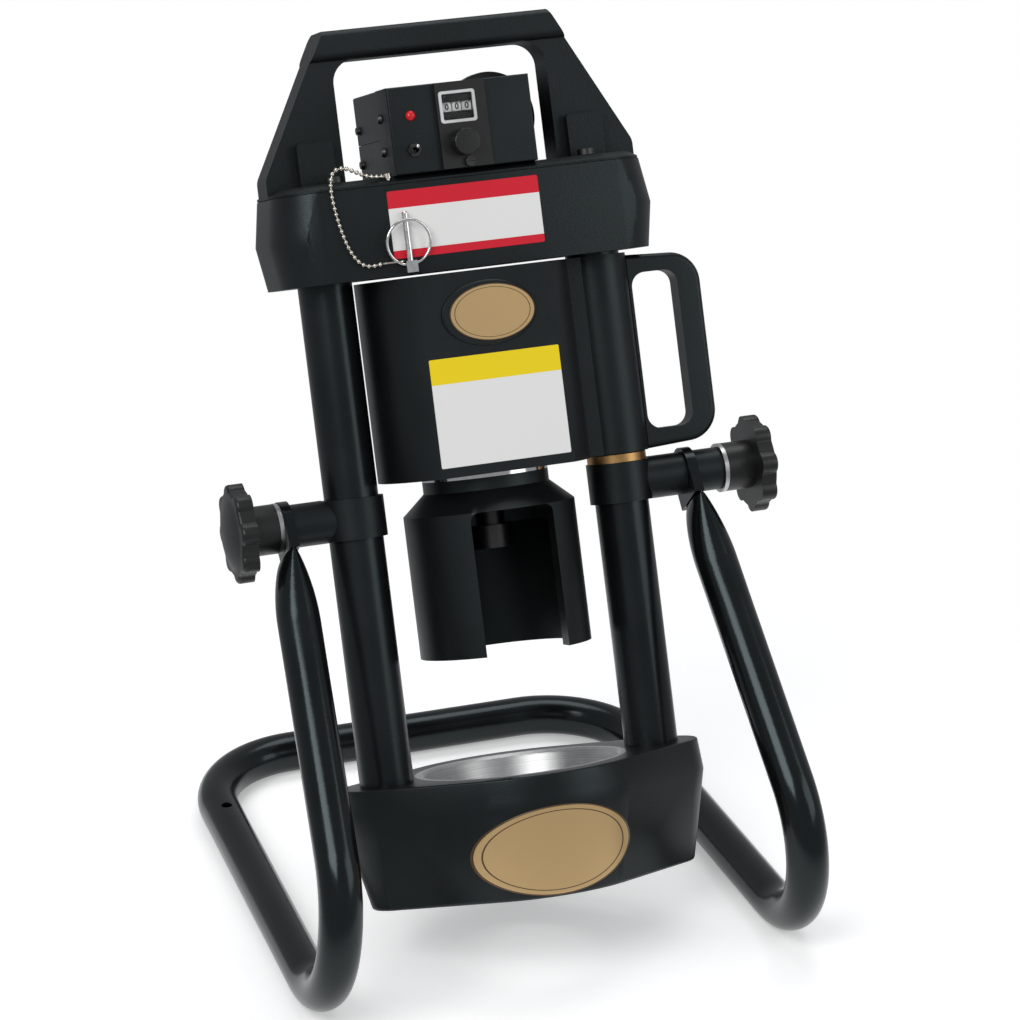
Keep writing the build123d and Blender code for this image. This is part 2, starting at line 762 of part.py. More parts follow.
# Hose connection in the port on the back of the housing
with BuildPart() as port_fitting:
    with BuildSketch(Plane.XZ.offset(-housing_radius - port_boss_length - joint_gap)):
        with Locations((0, port_z)):
            RegularPolygon(14, 6, major_radius=False)
    extrude(amount=-12)
    with BuildSketch(Plane.XZ.offset(-housing_radius - port_boss_length - joint_gap)):
        with Locations((0, port_z)):
            Circle(port_bore_radius - fit_clearance)
    extrude(amount=port_depth - 2)
    with BuildSketch(Plane.XZ.offset(-housing_radius - port_boss_length - joint_gap - 12)):
        with Locations((0, port_z)):
            Circle(12)
    extrude(amount=-20)
    with BuildSketch(Plane.XZ.offset(-housing_radius - port_boss_length - joint_gap - 32)):
        with Locations((0, port_z)):
            Circle(7)
    extrude(amount=24, mode=Mode.SUBTRACT)
keep(port_fitting, "port_fitting")

# ---------------------------------------------------------------- ram
piston_top = bore_top - piston_top_gap
piston_bottom = piston_top - piston_height
rod_bore = pusher_neck_radius - rod_wall
with BuildPart() as piston:
    with BuildSketch(Plane.XY.offset(piston_bottom)):
        Circle(housing_bore_radius - running_clearance)
    extrude(amount=piston_height)
    with BuildSketch(Plane.XY.offset(piston_bottom)):
        Circle(rod_bore)
    extrude(amount=piston_height, mode=Mode.SUBTRACT)
    with BuildSketch(Plane.XY.offset(piston_bottom + (piston_height - seal_width) / 2)):
        Circle(housing_bore_radius)
        Circle(housing_bore_radius - running_clearance - seal_depth, mode=Mode.SUBTRACT)
    extrude(amount=seal_width, mode=Mode.SUBTRACT)
keep(piston, "piston")

with BuildPart() as piston_seal:
    with BuildSketch(Plane.XY.offset(piston_bottom + (piston_height - seal_width) / 2 + fit_clearance)):
        Circle(housing_bore_radius - running_clearance)
        Circle(housing_bore_radius - running_clearance - seal_depth + fit_clearance, mode=Mode.SUBTRACT)
    extrude(amount=seal_width - 2 * fit_clearance)
keep(piston_seal, "piston_seal")

with BuildPart() as ram_rod:
    with BuildSketch(Plane.XY.offset(pusher_top)):
        Circle(pusher_neck_radius)
    extrude(amount=piston_bottom - pusher_top)
    with BuildSketch(Plane.XY.offset(pusher_top + rod_floor)):
        Circle(rod_bore)
    extrude(amount=piston_bottom, mode=Mode.SUBTRACT)
    with BuildSketch(Plane.XY.offset(pusher_top)):
        Circle(pusher_bolt_diameter / 2 + fit_clearance)
    extrude(amount=rod_floor, mode=Mode.SUBTRACT)
keep(ram_rod, "ram_rod")

pusher_roof_z = pusher_shoulder - pusher_roof
with BuildPart() as pusher:
    with BuildSketch(Plane.XZ):
        with BuildLine():
            Polyline(
                (0, pusher_bottom),
                (pusher_radius, pusher_bottom),
                (pusher_radius, pusher_shoulder),
                (pusher_neck_radius, pusher_neck),
                (pusher_neck_radius, pusher_top),
                (0, pusher_top),
                close=True,
            )
        make_face()
    revolve(axis=Axis.Z)
    with BuildSketch(Plane.XY.offset(pusher_bottom)):
        Circle(pusher_radius - pusher_wall)
    extrude(amount=pusher_roof_z - pusher_bottom, mode=Mode.SUBTRACT)
    with BuildSketch(Plane.XZ):
        with Locations((0, pusher_bottom + pusher_window_height / 2 - 10)):
            RectangleRounded(pusher_window_width, pusher_window_height + 20, 6)
    extrude(amount=2 * pusher_radius, mode=Mode.SUBTRACT)
    with BuildSketch(Plane.XY.offset(pusher_roof_z)):
        Circle(pusher_bolt_diameter / 2 + fit_clearance)
    extrude(amount=pusher_top, mode=Mode.SUBTRACT)
keep(pusher, "pusher")

with BuildPart() as pusher_bolt:
    with BuildSketch(Plane.XY.offset(pusher_roof_z)):
        Circle(pusher_bolt_diameter * 0.75)
    extrude(amount=-pusher_bolt_diameter * 0.8)
    with BuildSketch(Plane.XY.offset(pusher_roof_z)):
        Circle(pusher_bolt_diameter / 2)
    extrude(amount=pusher_top + rod_floor + 6 - pusher_roof_z)
    with BuildSketch(Plane.XY.offset(pusher_roof_z - pusher_bolt_diameter * 0.8)):
        RegularPolygon(pusher_bolt_diameter * 0.42, 6)
    extrude(amount=pusher_bolt_diameter * 0.5, mode=Mode.SUBTRACT)
keep(pusher_bolt, "pusher_bolt")

spring_bottom = pusher_top + rod_floor + 7
spring_length = piston_top - spring_bottom - spring_wire
with BuildPart() as return_spring:
    with BuildLine() as coil:
        Helix(
            pitch=spring_length / spring_coils,
            height=spring_length,
            radius=spring_radius,
            center=(0, 0, spring_bottom + spring_wire / 2),
        )
    with BuildSketch(Plane(coil.line @ 0, z_dir=coil.line % 0)):
        RegularPolygon(spring_wire / 2, spring_wire_sides)
    sweep(path=coil.line)
keep(return_spring, "return_spring")

# ---------------------------------------------------------------- control box
box_split = -box_front + box_front_depth
seam_z = box_bottom + box_seam_height
window_z = box_bottom + window_above_box + window_height / 2
dial_z = box_bottom + dial_height
lamp_z = box_bottom + lamp_height
toggle_z = box_bottom + toggle_height
strip_front = -box_front - strip_rise
with BuildPart() as control_front:
    with Locations((0, -box_front + box_front_depth / 2, box_bottom + box_height / 2)):
        Box(box_width, box_front_depth, box_height)
    fillet(control_front.faces().sort_by(Axis.Y)[0].edges(), radius=1.5)
    with Locations((0, -box_front + box_wall + box_front_depth / 2, box_bottom + box_height / 2)):
        Box(box_width - 2 * box_wall, box_front_depth, box_height - 2 * box_wall, mode=Mode.SUBTRACT)
    with BuildSketch(Plane.XZ.offset(box_front)):
        with Locations((window_offset, window_z)):
            Rectangle(window_width - 2 * window_frame, window_height - 2 * window_frame)
        with Locations((dial_offset, dial_z)):
            Circle(dial_shaft_diameter / 2 + running_clearance)
        with Locations((lamp_offset, lamp_z)):
            Circle(lamp_radius - 0.5 + fit_clearance)
        with Locations((lamp_offset, toggle_z)):
            Circle(3 + fit_clearance)
    extrude(amount=-box_wall, mode=Mode.SUBTRACT)
keep(control_front, "control_front")

with BuildPart() as control_lower:
    with Locations((0, (box_split + box_rear) / 2 + joint_gap / 2, (box_bottom + seam_z) / 2)):
        Box(box_width - 1, box_rear - box_split - joint_gap, box_seam_height)
    with Locations((0, (box_split + box_rear) / 2 + joint_gap / 2, (box_bottom + seam_z) / 2 + box_wall)):
        Box(
            box_width - 1 - 2 * box_wall,
            box_rear - box_split - joint_gap - 2 * box_wall,
            box_seam_height,
            mode=Mode.SUBTRACT,
        )
keep(control_lower, "control_lower")

upper_height = box_height - box_seam_height - joint_gap
with BuildPart() as control_upper:
    with Locations((0, (box_split + box_rear) / 2 + joint_gap / 2, box_top - upper_height / 2)):
        Box(box_width - 1, box_rear - box_split - joint_gap, upper_height)
    fillet(control_upper.edges().filter_by(Axis.Y).sort_by(Axis.Z)[-2:], radius=1.5)
    with Locations((0, (box_split + box_rear) / 2 + joint_gap / 2, box_top - upper_height / 2 - box_wall)):
        Box(
            box_width - 1 - 2 * box_wall,
            box_rear - box_split - joint_gap - 2 * box_wall,
            upper_height,
            mode=Mode.SUBTRACT,
        )
keep(control_upper, "control_upper")

side_screw_places = [(-box_front + 23, 40.5), (-box_front + 23, 17.5), (box_rear - 6, 36.5), (box_rear - 6, 12.5)]
with BuildPart() as control_screws:
    for sign in (-1, 1):
        for y, height in side_screw_places:
            inset = 0 if y < box_split else 0.5
            with BuildSketch(Plane.YZ.offset(sign * (box_width / 2 - inset))):
                with Locations((y, box_bottom + height)):
                    Circle(side_screw_radius)
            extrude(amount=sign * 2.2, taper=25)
keep(control_screws, "control_screws")

with BuildPart() as control_strip:
    with BuildSketch(Plane.XZ.offset(box_front)):
        with Locations((0, box_bottom + box_height / 2)):
            Rectangle(strip_width, box_height - 1)
        with Locations((window_offset, window_z)):
            Rectangle(window_width - 2 * window_frame, window_height - 2 * window_frame, mode=Mode.SUBTRACT)
        with Locations((dial_offset, dial_z)):
            Circle(dial_shaft_diameter / 2 + running_clearance, mode=Mode.SUBTRACT)
    extrude(amount=strip_rise)
    with BuildSketch(Plane.XZ.offset(box_front + strip_rise)):
        with Locations((window_offset, window_z)):
            RectangleRounded(window_width + 0.2, window_height + 0.2, 2)
    extrude(amount=-1.5, mode=Mode.SUBTRACT)
keep(control_strip, "control_strip")

with BuildPart() as counter_frame:
    with BuildSketch(Plane.XZ.offset(box_front + strip_rise - 1.5)):
        with Locations((window_offset, window_z)):
            RectangleRounded(window_width, window_height, 2)
            RectangleRounded(window_width - 2 * window_frame, window_height - 2 * window_frame, 1, mode=Mode.SUBTRACT)
    extrude(amount=2.5)
keep(counter_frame, "counter_frame")

with BuildPart() as counter_window:
    with BuildSketch(Plane.XZ.offset(box_front + strip_rise - 0.4)):
        with Locations((window_offset, window_z)):
            RectangleRounded(
                window_width - 2 * window_frame - 0.2, window_height - 2 * window_frame - 0.2, 0.9
            )
    extrude(amount=0.8)
keep(counter_window, "counter_window")

with BuildPart() as counter_mask:
    with BuildSketch(Plane.XZ.offset(box_front + strip_rise - 1.5)):
        with Locations((window_offset, window_z)):
            RectangleRounded(
                window_width - 2 * window_frame - 0.2, window_height - 2 * window_frame - 0.2, 0.9
            )
            Rectangle(3 * wheel_pitch + 0.2, 6.5, mode=Mode.SUBTRACT)
    extrude(amount=0.8)
keep(counter_mask, "counter_mask")

wheel_y = -box_front - strip_rise + 1.9 + wheel_radius
for place, wheel_name in enumerate(("hundreds_wheel", "tens_wheel", "units_wheel")):
    wheel_x = window_offset + (place - 1) * wheel_pitch
    with BuildPart() as wheel:
        with BuildSketch(Plane.YZ.offset(wheel_x - wheel_width / 2)):
            with Locations((wheel_y, window_z)):
                Circle(wheel_radius)
                Circle(1.5 + running_clearance, mode=Mode.SUBTRACT)
        extrude(amount=wheel_width)
    keep(wheel, wheel_name)

bracket_half = 1.5 * wheel_pitch + 1.2
with BuildPart() as counter_bracket:
    with BuildSketch(Plane.YZ.offset(window_offset - bracket_half - 1.5)):
        with Locations((wheel_y, window_z)):
            Circle(1.5)
    extrude(amount=2 * bracket_half + 3)
    for sign in (-1, 1):
        with BuildSketch(Plane.YZ.offset(window_offset + sign * bracket_half)):
            with Locations((wheel_y + 3, window_z)):
                Rectangle(8, 7)
            with Locations((-box_front + box_wall + 14, window_z)):
                Rectangle(6, 7)
        extrude(amount=sign * 1.5)
    with Locations((window_offset, -box_front + box_wall + 16.5, window_z)):
        Box(2 * bracket_half + 3, 2, 7)
keep(counter_bracket, "counter_bracket")

with BuildPart() as dial_knob:
    with BuildSketch(Plane.XZ.offset(box_front + strip_rise + joint_gap)):
        with Locations((dial_offset, dial_z)):
            Circle(dial_radius)
    extrude(amount=dial_length)
    fillet(dial_knob.faces().sort_by(Axis.Y)[0].edges(), radius=1)
    with BuildSketch(Plane.XZ.offset(box_front + strip_rise + joint_gap)):
        with Locations((dial_offset, dial_z)):
            Circle(dial_shaft_diameter / 2)
    extrude(amount=-(strip_rise + box_wall + 10))
    with BuildSketch(Plane.XZ.offset(box_front + strip_rise + joint_gap + dial_length)):
        with Locations((dial_offset, dial_z)):
            with PolarLocations(dial_radius + 0.4, 12):
                Circle(0.9)
    extrude(amount=-dial_length + 1.5, mode=Mode.SUBTRACT)
keep(dial_knob, "dial_knob")

with BuildPart() as status_lamp:
    with BuildSketch(Plane.XZ.offset(box_front - box_wall - 4)):
        with Locations((lamp_offset, lamp_z)):
            Circle(lamp_radius - 0.5)
    extrude(amount=box_wall + 4)
    with BuildSketch(Plane.XZ.offset(box_front)):
        with Locations((lamp_offset, lamp_z)):
            Circle(lamp_radius)
    extrude(amount=3)
    fillet(status_lamp.faces().sort_by(Axis.Y)[0].edges(), radius=lamp_radius * 0.8)
keep(status_lamp, "status_lamp")

with BuildPart() as switch_bushing:
    with BuildSketch(Plane.XZ.offset(box_front - box_wall - 8)):
        with Locations((lamp_offset, toggle_z)):
            Circle(3)
    extrude(amount=box_wall + 8 + 3.5)
    with BuildSketch(Plane.XZ.offset(box_front)):
        with Locations((lamp_offset, toggle_z)):
            RegularPolygon(4.2, 6, major_radius=False)
    extrude(amount=1.8)
    with BuildSketch(Plane.XZ.offset(box_front + 3.5)):
        with Locations((lamp_offset, toggle_z)):
            Circle(2.4)
    extrude(amount=-6, mode=Mode.SUBTRACT)
keep(switch_bushing, "switch_bushing")

toggle_swing = 12.0
toggle_pivot = Vector(lamp_offset, -box_front + 0.3, toggle_z)
toggle_axis = Vector(0, -cos(radians(toggle_swing)), sin(radians(toggle_swing)))
with BuildPart() as toggle_lever:
    with Locations(toggle_pivot):
        Sphere(1.6)
    with BuildSketch(Plane(toggle_pivot, x_dir=(1, 0, 0), z_dir=toggle_axis)):
        Circle(0.8)
    extrude(amount=10)
    with Locations(toggle_pivot + toggle_axis * 10):
        Sphere(1.4)
keep(toggle_lever, "toggle_lever")

with BuildPart() as lock_screw:
    with BuildSketch(Plane.XZ.offset(box_front + strip_rise)):
        with Locations((1, box_bottom + lock_screw_radius + 0.6)):
            Circle(lock_screw_radius)
    extrude(amount=3)
    with BuildSketch(Plane.XZ.offset(box_front + strip_rise + 3)):
        with Locations((1, box_bottom + lock_screw_radius + 0.6)):
            Rectangle(5, 0.9)
    extrude(amount=-1, mode=Mode.SUBTRACT)
keep(lock_screw, "lock_screw")

with BuildPart() as circuit_board:
    with Locations((18, box_rear - box_wall - 12, box_bottom + box_wall)):
        Box(58, 1.6, box_height - 2 * box_wall - 3, align=(Align.CENTER, Align.CENTER, Align.MIN))
    with Locations((18, box_rear - box_wall - 14.3, box_bottom + 34)):
        Box(16, 3, 16)
    with Locations((38, box_rear - box_wall - 15.8, box_bottom + 20)):
        Box(8, 6, 10)
keep(circuit_board, "circuit_board")

with BuildPart() as battery:
    with Locations((-30, 8, box_bottom + box_wall)):
        Box(26, 46, 17, align=(Align.CENTER, Align.CENTER, Align.MIN))
    fillet(battery.edges().filter_by(Axis.Y), radius=2)
keep(battery, "battery")

with BuildPart() as sensor_cap:
    with BuildSketch(Plane.XZ.offset(-box_rear)):
        with Locations((sensor_offset, box_top - sensor_radius + 9)):
            Circle(sensor_radius)
    extrude(amount=-sensor_length)
    fillet(sensor_cap.faces().sort_by(Axis.Y)[-1].edges(), radius=5)
keep(sensor_cap, "sensor_cap")

# ---------------------------------------------------------------- lock pin on its bead chain
pin_x = -49.7
pin_y = -head_half_depth - joint_gap - pin_diameter / 2
pin_top = head_top - pin_top_below_head_top
pin_bottom = pin_top - pin_length + 2
ring_eye_z = pin_bottom + 5.3
with BuildPart() as lock_pin:
    with BuildSketch(Plane.XY.offset(pin_bottom + pin_head)):
        with Locations((pin_x, pin_y)):
            Circle(pin_diameter / 2)
    extrude(amount=pin_top - pin_bottom - pin_head)
    chamfer(lock_pin.faces().sort_by(Axis.Z)[-1].edges(), length=1)
    with Locations((pin_x, pin_y - 0.9, pin_bottom)):
        Box(pin_head, pin_diameter + 1.8, pin_head, align=(Align.CENTER, Align.CENTER, Align.MIN))
    with BuildSketch(Plane.YZ.offset(pin_x - pin_head)):
        with Locations((pin_y, ring_eye_z)):
            Circle(ring_wire / 2 + 0.8)
    extrude(amount=2 * pin_head, mode=Mode.SUBTRACT)
keep(lock_pin, "lock_pin")

ring_up = Vector(0, -sin(radians(ring_tilt)), cos(radians(ring_tilt)))
ring_centre = Vector(pin_x, pin_y, ring_eye_z) + ring_up * ring_radius
ring_plane = Plane(ring_centre, x_dir=(1, 0, 0), z_dir=Vector(1, 0, 0).cross(ring_up))
with BuildPart(ring_plane) as pin_ring:
    Torus(ring_radius, ring_wire / 2)
keep(pin_ring, "pin_ring")

with BuildPart() as chain_anchor:
    with BuildSketch(Plane.XY.offset(anchor_seat)):
        with Locations((anchor_x, anchor_y)):
            Circle(anchor_head_radius)
    extrude(amount=anchor_head_height)
    with BuildSketch(Plane.XY.offset(foot_bottom)):
        with Locations((anchor_x, anchor_y)):
            Circle(anchor_shank_radius)
    extrude(amount=foot_height)
keep(chain_anchor, "chain_anchor")

hook_turn = radians(ring_hook_angle)
hook_point = ring_centre + Vector(1, 0, 0) * ring_radius * cos(hook_turn) + ring_up * ring_radius * sin(hook_turn)
link_right = hook_point.X + ring_wire / 2 / -cos(hook_turn) + 2 * link_wire + 2 * joint_gap
link_y = -head_half_depth - joint_gap - link_width / 2
chain_points = [
    (-58.8, -43.7, 504.9),
    (-68.0, -46.4, 504.7),
    (-78.0, -48.8, 508.8),
    (-88.5, -50.8, 513.9),
    (-97.3, -51.5, 511.6),
    (-99.6, -51.8, 500.5),
    (-98.7, -51.8, 487.0),
    (-96.0, -51.8, 472.0),
    (-92.3, -51.8, 458.6),
    (-86.6, -51.9, 448.2),
    (-78.6, -52.2, 443.6),
    (link_right - link_length - joint_gap, link_y, hook_point.Z),
]


def rounded_route(points):
    """Straight runs joined by arcs as large as each pair of runs allows."""
    corners = [Vector(*point) for point in points]
    radii = []
    for before, corner, after in zip(corners, corners[1:], corners[2:]):
        turn = radians((corner - before).get_angle(after - corner))
        shorter = min((corner - before).length, (after - corner).length)
        radii.append(0.45 * shorter / tan(turn / 2))
    print("chain radii", [round(radius, 1) for radius in radii])
    return corners, radii


chain_corners, chain_radii = rounded_route(chain_points)
with BuildPart() as bead_chain:
    with BuildLine() as chain_path:
        FilletPolyline(*chain_corners, radius=chain_radii)
    with BuildSketch(Plane(chain_path.line @ 0, z_dir=chain_path.line % 0)):
        Circle(bead_diameter / 2)
    sweep(path=chain_path.line)
keep(bead_chain, "bead_chain")
chain_length = sum(edge.length for edge in chain_path.line.edges())
chain_volume = pi * (bead_diameter / 2) ** 2 * chain_length
print("chain length", round(chain_length, 1), "volume ratio", round(bead_chain.part.volume / chain_volume, 4))

with BuildPart() as chain_link:
    with BuildSketch(Plane.XY.offset(hook_point.Z - link_wire / 2)):
        with Locations((link_right - link_length / 2, link_y)):
            SlotOverall(link_length, link_width)
            SlotOverall(link_length - 2 * link_wire, link_width - 2 * link_wire, mode=Mode.SUBTRACT)
    extrude(amount=link_wire)
keep(chain_link, "chain_link")

# ---------------------------------------------------------------- lean back and stand on the floor
chain_nodes = {"bead_chain", "chain_link", "lock_pin", "pin_ring"}
lean_back = Location((0, 0, 0), (-lean, 0, 0))
leaned = {label: part.moved(lean_back) for label, part in pieces.items()}
spans = [part.bounding_box() for label, part in leaned.items() if label not in chain_nodes]
middle_x = (min(span.min.X for span in spans) + max(span.max.X for span in spans)) / 2
middle_y = (min(span.min.Y for span in spans) + max(span.max.Y for span in spans)) / 2
lowest_z = min(span.min.Z for span in spans)
to_floor = Location((-middle_x, -middle_y, -lowest_z))
print("shift", to_floor.position)

os.makedirs("parts", exist_ok=True)
for label, part in leaned.items():
    placed = part.moved(to_floor)
    placed.label = label
    export_step(placed, f"parts/{label}.step")
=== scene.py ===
"""Looks for the hose crimping machine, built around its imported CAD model."""
import json
import math

import bmesh
import bpy
from mathutils import Matrix, Vector
from mathutils.bvhtree import BVHTree


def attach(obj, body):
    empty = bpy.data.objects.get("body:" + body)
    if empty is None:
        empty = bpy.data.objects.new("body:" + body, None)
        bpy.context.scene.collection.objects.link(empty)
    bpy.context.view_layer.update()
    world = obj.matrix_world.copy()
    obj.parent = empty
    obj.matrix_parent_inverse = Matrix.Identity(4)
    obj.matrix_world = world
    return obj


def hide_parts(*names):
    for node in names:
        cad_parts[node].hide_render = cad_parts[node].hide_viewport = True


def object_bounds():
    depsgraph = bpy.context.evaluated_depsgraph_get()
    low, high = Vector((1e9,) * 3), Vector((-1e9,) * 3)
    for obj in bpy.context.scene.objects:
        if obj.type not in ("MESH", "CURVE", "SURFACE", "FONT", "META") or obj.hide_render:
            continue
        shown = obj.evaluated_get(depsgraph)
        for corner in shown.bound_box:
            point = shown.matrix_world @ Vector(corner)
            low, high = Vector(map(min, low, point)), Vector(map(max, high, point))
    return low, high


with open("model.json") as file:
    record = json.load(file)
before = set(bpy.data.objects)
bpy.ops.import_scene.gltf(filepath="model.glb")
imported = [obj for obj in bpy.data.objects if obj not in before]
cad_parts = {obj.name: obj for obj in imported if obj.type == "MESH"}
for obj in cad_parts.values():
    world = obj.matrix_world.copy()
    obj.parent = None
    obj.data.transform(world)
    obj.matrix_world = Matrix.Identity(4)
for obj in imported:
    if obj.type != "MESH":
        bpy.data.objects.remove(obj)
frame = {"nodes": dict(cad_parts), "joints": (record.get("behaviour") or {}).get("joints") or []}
cad_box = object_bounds()
nodes = frame["nodes"]
joints = {joint["name"]: joint for joint in frame["joints"]}
MM = 0.001

# ---------------------------------------------------------------- the machine's own axes
# The machine leans back on its stand. Its pieces are placed in its own axes: X along the row,
# BACK away from the operator and UP along the columns, from the stand's pivot.
PIVOT = Vector(joints["stand_fold"]["pos_m"])
RIGHT = Vector((1, 0, 0))
UP = Vector(joints["cylinder_swing"]["axis"]).normalized()
BACK = UP.cross(RIGHT).normalized()
TO_WORLD = Matrix.Translation(PIVOT) @ Matrix((RIGHT, BACK, UP)).transposed().to_4x4()
TO_MACHINE = TO_WORLD.inverted()


def machine_box(node):
    """Lowest and highest corner of a CAD node in the machine's own axes."""
    points = [TO_MACHINE @ vertex.co for vertex in nodes[node].data.vertices]
    low = Vector([min(point[axis] for point in points) for axis in range(3)])
    high = Vector([max(point[axis] for point in points) for axis in range(3)])
    return low, high


# ---------------------------------------------------------------- materials
class Nodes:
    """A material's node tree, with short names for what this file uses."""

    def __init__(self, name):
        self.material = bpy.data.materials.new(name)
        self.material.use_nodes = True
        self.tree = self.material.node_tree
        self.tree.nodes.clear()
        self.output = self.add("ShaderNodeOutputMaterial")

    def add(self, kind, **settings):
        node = self.tree.nodes.new(kind)
        for key, value in settings.items():
            setattr(node, key, value)
        return node

    def link(self, source, target):
        self.tree.links.new(source, target)

    def shader(self, **inputs):
        shader = self.add("ShaderNodeBsdfPrincipled")
        for key, value in inputs.items():
            shader.inputs[key.replace("_", " ")].default_value = value
        self.link(shader.outputs[0], self.output.inputs[0])
        return shader

    def noise(self, scale, detail=3.0, roughness=0.55, coordinates="Object", stretch=None):
        place = self.add("ShaderNodeTexCoord")
        source = place.outputs[coordinates]
        if stretch:
            mapping = self.add("ShaderNodeMapping")
            mapping.inputs["Scale"].default_value = stretch
            self.link(source, mapping.inputs["Vector"])
            source = mapping.outputs[0]
        texture = self.add("ShaderNodeTexNoise")
        texture.inputs["Scale"].default_value = scale
        texture.inputs["Detail"].default_value = detail
        texture.inputs["Roughness"].default_value = roughness
        self.link(source, texture.inputs["Vector"])
        return texture

    def ramp(self, source, stops, interpolation="LINEAR"):
        ramp = self.add("ShaderNodeValToRGB")
        ramp.color_ramp.interpolation = interpolation
        elements = ramp.color_ramp.elements
        while len(elements) < len(stops):
            elements.new(0.5)
        for element, (position, colour) in zip(elements, stops):
            element.position = position
            element.color = (*colour, 1)
        self.link(source, ramp.inputs[0])
        return ramp

    def spread(self, source, low, high):
        """Maps a 0 to 1 value to low to high."""
        spread = self.add("ShaderNodeMapRange")
        spread.inputs["To Min"].default_value = low
        spread.inputs["To Max"].default_value = high
        self.link(source, spread.inputs["Value"])
        return spread

    def bump(self, shader, height, distance, strength=1.0):
        bump = self.add("ShaderNodeBump")
        bump.inputs["Distance"].default_value = distance
        bump.inputs["Strength"].default_value = strength
        self.link(height, bump.inputs["Height"])
        self.link(bump.outputs[0], shader.inputs["Normal"])
        return bump


def grey(value, blue=0.0):
    """A grey of this value, with its green and blue raised a little for a cool tint."""
    return (value, value * (1 + blue / 2), value * (1 + blue))


def black_paint(name, value, roughness, grain, depth, blue=0.15):
    """Black paint with an even grain, a cloudy gloss and slightly dusty patches."""
    made = Nodes(name)
    shader = made.shader(Specular_IOR_Level=0.33, Specular_Tint=(0.80, 0.97, 1.0, 1))
    clouds = made.noise(14, detail=5)
    dark, light = grey(value * 0.75, blue), grey(value * 1.5, blue)
    tone = made.ramp(clouds.outputs["Fac"], [(0.35, dark), (0.7, light)])
    made.link(tone.outputs[0], shader.inputs["Base Color"])
    gloss = made.spread(clouds.outputs["Fac"], roughness - 0.08, roughness + 0.1)
    made.link(gloss.outputs[0], shader.inputs["Roughness"])
    texture = made.noise(grain, detail=2)
    made.bump(shader, texture.outputs["Fac"], depth)
    return made.material


def plastic(name, colour, roughness, grain=900, depth=0.00004):
    """Moulded plastic with a fine grain and a cloudy gloss."""
    made = Nodes(name)
    shader = made.shader()
    clouds = made.noise(30, detail=4)
    dark = tuple(channel * 0.8 for channel in colour)
    light = tuple(min(channel * 1.15, 1) for channel in colour)
    tone = made.ramp(clouds.outputs["Fac"], [(0.3, dark), (0.7, light)])
    made.link(tone.outputs[0], shader.inputs["Base Color"])
    gloss = made.spread(clouds.outputs["Fac"], roughness - 0.06, roughness + 0.08)
    made.link(gloss.outputs[0], shader.inputs["Roughness"])
    made.bump(shader, made.noise(grain, detail=2).outputs["Fac"], depth)
    return made.material


def metal(name, colour, roughness, brushed=None, depth=0.00002, scale=300):
    """Bare metal; brushed stretches its grain along one machine axis."""
    made = Nodes(name)
    shader = made.shader(Metallic=1.0)
    texture = made.noise(scale, detail=4, stretch=brushed)
    dark = tuple(channel * 0.82 for channel in colour)
    tone = made.ramp(texture.outputs["Fac"], [(0.3, dark), (0.7, colour)])
    made.link(tone.outputs[0], shader.inputs["Base Color"])
    gloss = made.spread(texture.outputs["Fac"], roughness - 0.06, roughness + 0.1)
    made.link(gloss.outputs[0], shader.inputs["Roughness"])
    made.bump(shader, texture.outputs["Fac"], depth)
    return made.material


def turned_metal(name, colour, roughness):
    """Metal turned on a lathe: fine rings square to the machine's UP axis."""
    made = Nodes(name)
    shader = made.shader(Metallic=1.0)
    place = made.add("ShaderNodeTexCoord")
    height = made.add("ShaderNodeVectorMath", operation="DOT_PRODUCT")
    height.inputs[1].default_value = UP
    made.link(place.outputs["Object"], height.inputs[0])
    rings = made.add("ShaderNodeTexNoise", noise_dimensions="1D")
    rings.inputs["Scale"].default_value = 1500
    rings.inputs["Detail"].default_value = 3
    made.link(height.outputs["Value"], rings.inputs["W"])
    stains = made.noise(35, detail=5)
    mix = made.add("ShaderNodeMath", operation="MULTIPLY")
    made.link(rings.outputs["Fac"], mix.inputs[0])
    made.link(stains.outputs["Fac"], mix.inputs[1])
    dark = tuple(channel * 0.55 for channel in colour)
    tone = made.ramp(mix.outputs[0], [(0.1, dark), (0.3, colour)])
    made.link(tone.outputs[0], shader.inputs["Base Color"])
    gloss = made.spread(stains.outputs["Fac"], roughness - 0.05, roughness + 0.2)
    made.link(gloss.outputs[0], shader.inputs["Roughness"])
    made.bump(shader, rings.outputs["Fac"], 0.00004)
    return made.material


def banded(name, stops, roughness):
    """Printed film in flat bands of colour up the plate."""
    made = Nodes(name)
    shader = made.shader(Roughness=roughness, IOR=1.35)
    place = made.add("ShaderNodeTexCoord")
    parts = made.add("ShaderNodeSeparateXYZ")
    made.link(place.outputs["Generated"], parts.inputs[0])
    bands = made.ramp(parts.outputs["Z"], stops, interpolation="CONSTANT")
    made.link(bands.outputs[0], shader.inputs["Base Color"])
    made.bump(shader, made.noise(260, detail=2).outputs["Fac"], 0.00003)
    return made.material


def clear(name, colour, roughness):
    """A thin clear window with a faint smear."""
    made = Nodes(name)
    shader = made.shader(Transmission_Weight=1.0, IOR=1.12, Roughness=roughness)
    shader.inputs["Base Color"].default_value = (*colour, 1)
    smear = made.noise(80, detail=3)
    gloss = made.spread(smear.outputs["Fac"], roughness, roughness + 0.06)
    made.link(gloss.outputs[0], shader.inputs["Roughness"])
    return made.material


